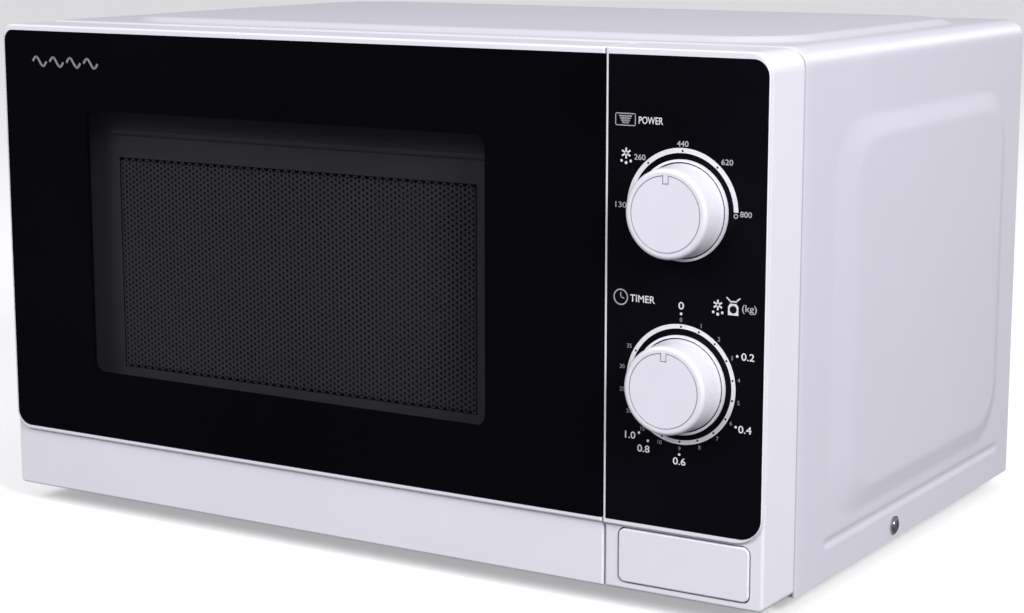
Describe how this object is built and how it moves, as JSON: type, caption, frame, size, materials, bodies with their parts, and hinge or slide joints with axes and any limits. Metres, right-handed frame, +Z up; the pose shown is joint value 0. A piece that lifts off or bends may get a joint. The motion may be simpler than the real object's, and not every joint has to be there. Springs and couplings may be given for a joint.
{
  "type": "microwave oven",
  "caption": "Countertop microwave oven with a side-hinged glass door, two rotary dials and a push button that releases the door, with a glass turntable inside.",
  "frame": {"origin": "centre of the bounding box on the plane the feet stand on", "axes": "+X to the right as seen by someone facing the door, +Y to the back, +Z up; the door and dials face -Y"},
  "size_m": [0.4448, 0.357, 0.2582],
  "materials": {
    "white_enamel": "smooth satin powder coat",
    "galvanised_steel": "dull zinc coat",
    "bright_steel": "plain bright sheet",
    "laminated_steel": "varnished laminations",
    "chromed_steel": "bright plated",
    "grey_enamel": "smooth light grey enamel",
    "dark_enamel": "satin dark enamel",
    "white_plastic": "semi-gloss moulding",
    "black_gloss_plastic": "gloss black printed film",
    "black_plastic": "moulded",
    "dark_plastic": "moulded",
    "natural_plastic": "unpainted moulding",
    "black_rubber": "moulded rubber",
    "black_glass": "black printed back with a smoked window",
    "clear_glass": "clear pressed glass",
    "copper": "enamelled copper",
    "aluminium": "plain sheet",
    "mica": "mica sheet",
    "circuit_board": "phenolic board"
  },
  "bodies": {
    "cabinet": {"outer_case": "white_enamel", "base_plate": "galvanised_steel", "feet": "black_rubber", "front_plate": "grey_enamel", "cavity": "grey_enamel", "back_panel": "galvanised_steel", "cord_gland": "black_rubber", "case_screws": "chromed_steel", "hinge_lower": "galvanised_steel", "hinge_upper": "galvanised_steel", "control_housing": "white_plastic", "control_facia": "black_gloss_plastic", "knob_collars": "white_plastic", "power_selector": "black_plastic", "timer_unit": "black_plastic", "timer_bell": "bright_steel", "interlock_bracket": "natural_plastic", "interlock_switches": "black_plastic", "turntable_motor": "bright_steel", "waveguide": "bright_steel", "waveguide_cover": "mica", "magnetron_yoke": "bright_steel", "magnetron_tube": "copper", "magnetron_fins": "aluminium", "magnetron_filter": "bright_steel", "air_duct": "natural_plastic", "transformer_core": "laminated_steel", "primary_winding": "copper", "secondary_winding": "copper", "hv_capacitor": "aluminium", "capacitor_clamp": "bright_steel", "hv_diode": "black_plastic", "fan_shroud": "natural_plastic", "fan_motor": "laminated_steel", "filter_board": "circuit_board", "thermal_cutouts": "bright_steel", "oven_lamp": "clear_glass"},
    "door": {"door_frame": "white_plastic", "door_glass": "black_glass", "door_screen": "dark_enamel", "choke_cover": "dark_plastic"},
    "latch": {"latch_bar": "natural_plastic", "latch_spring": "bright_steel"},
    "button": {"release_button": "white_plastic", "button_spring": "bright_steel"},
    "lever": {"release_lever": "natural_plastic"},
    "power_dial": {"power_knob": "white_plastic", "power_shaft": "natural_plastic"},
    "timer_dial": {"timer_knob": "white_plastic", "timer_shaft": "natural_plastic"},
    "turntable": {"turntable_glass": "clear_glass", "drive_coupler": "natural_plastic", "drive_shaft": "natural_plastic"},
    "ring": {"roller_ring": "natural_plastic"},
    "wheel_1": {"roller_wheel_1": "natural_plastic"},
    "wheel_2": {"roller_wheel_2": "natural_plastic"},
    "wheel_3": {"roller_wheel_3": "natural_plastic"},
    "fan": {"fan_rotor": "dark_plastic"},
    "plunger_low": {"switch_plunger_low": "natural_plastic"},
    "plunger_high": {"switch_plunger_high": "natural_plastic"}
  },
  "joints": [
    {"name": "door_hinge", "type": "hinge", "parent": "cabinet", "child": "door", "pos_m": [-0.2139, -0.1345, 0.13], "axis": [0, 0, -1], "range_deg": [0, 95]},
    {"name": "latch_slide", "type": "slide", "parent": "door", "child": "latch", "axis": [0, 0, 1], "range_m": [0, 0.006], "stiffness_N_per_m": 150, "springref_m": -0.008},
    {"name": "button_press", "type": "slide", "parent": "cabinet", "child": "button", "axis": [0, 1, 0], "range_m": [0, 0.005], "stiffness_N_per_m": 300, "springref_m": -0.006},
    {"name": "lever_turn", "type": "hinge", "parent": "cabinet", "child": "lever", "pos_m": [0.16, -0.118, 0.046], "axis": [1, 0, 0], "range_deg": [0, 14.6]},
    {"name": "power_turn", "type": "hinge", "parent": "cabinet", "child": "power_dial", "pos_m": [0.1791, -0.17, 0.1857], "axis": [0, 1, 0], "range_deg": [-90, 90]},
    {"name": "timer_turn", "type": "hinge", "parent": "cabinet", "child": "timer_dial", "pos_m": [0.1791, -0.17, 0.1084], "axis": [0, 1, 0], "range_deg": [0, 310]},
    {"name": "turntable_spin", "type": "hinge", "parent": "cabinet", "child": "turntable", "pos_m": [-0.05, 0.01, 0.05], "axis": [0, 0, 1], "continuous": true},
    {"name": "ring_roll", "type": "hinge", "parent": "cabinet", "child": "ring", "pos_m": [-0.05, 0.01, 0.0411], "axis": [0, 0, 1], "continuous": true},
    {"name": "wheel_1_roll", "type": "hinge", "parent": "ring", "child": "wheel_1", "pos_m": [0.02621, 0.054, 0.0411], "axis": [0.866, 0.5, 0], "continuous": true},
    {"name": "wheel_2_roll", "type": "hinge", "parent": "ring", "child": "wheel_2", "pos_m": [-0.12621, 0.054, 0.0411], "axis": [-0.866, 0.5, 0], "continuous": true},
    {"name": "wheel_3_roll", "type": "hinge", "parent": "ring", "child": "wheel_3", "pos_m": [-0.05, -0.078, 0.0411], "axis": [0, -1, 0], "continuous": true},
    {"name": "fan_spin", "type": "hinge", "parent": "cabinet", "child": "fan", "pos_m": [0.159, 0.12, 0.175], "axis": [0, 1, 0], "continuous": true},
    {"name": "plunger_low_press", "type": "slide", "parent": "cabinet", "child": "plunger_low", "axis": [0, 1, 0], "range_m": [0, 0.001], "stiffness_N_per_m": 100, "springref_m": -0.002},
    {"name": "plunger_high_press", "type": "slide", "parent": "cabinet", "child": "plunger_high", "axis": [0, 1, 0], "range_m": [0, 0.001], "stiffness_N_per_m": 100, "springref_m": -0.002}
  ],
  "couplings": [
    {"joint": "lever_turn", "follows": "button_press", "rad_per_m": 49.8},
    {"joint": "ring_roll", "follows": "turntable_spin", "ratio": 0.5},
    {"joint": "wheel_1_roll", "follows": "turntable_spin", "ratio": -6.2857},
    {"joint": "wheel_2_roll", "follows": "turntable_spin", "ratio": -6.2857},
    {"joint": "wheel_3_roll", "follows": "turntable_spin", "ratio": -6.2857}
  ]
}
